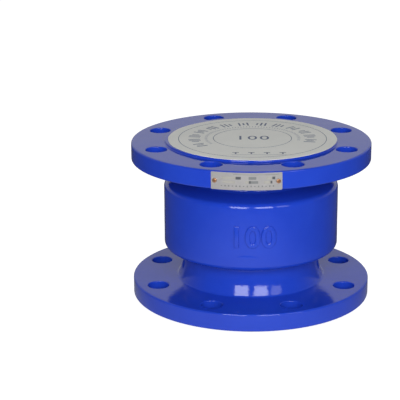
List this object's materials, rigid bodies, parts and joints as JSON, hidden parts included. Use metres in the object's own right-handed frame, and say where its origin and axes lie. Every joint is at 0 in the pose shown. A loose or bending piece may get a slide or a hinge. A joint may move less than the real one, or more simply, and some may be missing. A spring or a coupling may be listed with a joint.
{
  "type": "silent non-return valve",
  "caption": "Short flanged valve body with a barrel between two drilled flanges; a spring-loaded poppet inside lets flow pass one way only.",
  "frame": {"origin": "centre of the inlet face, on the plane that the valve stands on", "axes": "+Z along the valve's axis in the flow direction, from inlet to outlet; -Y towards the name plate"},
  "size_m": [0.215, 0.2155, 0.1475],
  "materials": {
    "blue_paint": "glossy blue epoxy over cast iron",
    "bronze": "machined bronze",
    "bush_brass": "turned brass",
    "stainless": "turned stainless steel",
    "spring_steel": "drawn stainless wire",
    "black_rubber": "moulded black rubber",
    "printed_film": "pale grey printed film",
    "plate_aluminium": "printed aluminium sheet",
    "copper_rivet": "copper-coloured"
  },
  "bodies": {
    "housing": {"valve_body": "blue_paint", "seat_ring": "bronze", "seat_o_ring": "black_rubber", "seat_screws": "stainless", "lower_guide_bush": "bush_brass", "upper_guide_bush": "bush_brass", "closing_spring": "spring_steel", "spring_washer": "stainless", "nameplate": "plate_aluminium", "nameplate_rivets": "copper_rivet"},
    "poppet_group": {"poppet": "bronze", "seal_ring": "black_rubber", "seal_retainer": "stainless", "retainer_screws": "stainless", "stem": "stainless", "stem_o_ring": "black_rubber", "stem_nut": "stainless", "nut_tab_washer": "stainless"},
    "cover": {"cover_disc": "printed_film"}
  },
  "joints": [
    {"name": "poppet_lift", "type": "slide", "parent": "housing", "child": "poppet_group", "axis": [0, 0, 1], "range_m": [0, 0.0222], "stiffness_N_per_m": 1670, "springref_m": -0.021, "deforming": ["closing_spring"]},
    {"name": "cover_lift", "type": "slide", "parent": "housing", "child": "cover", "axis": [0, 0, 1], "range_m": [0, 0.1]}
  ]
}
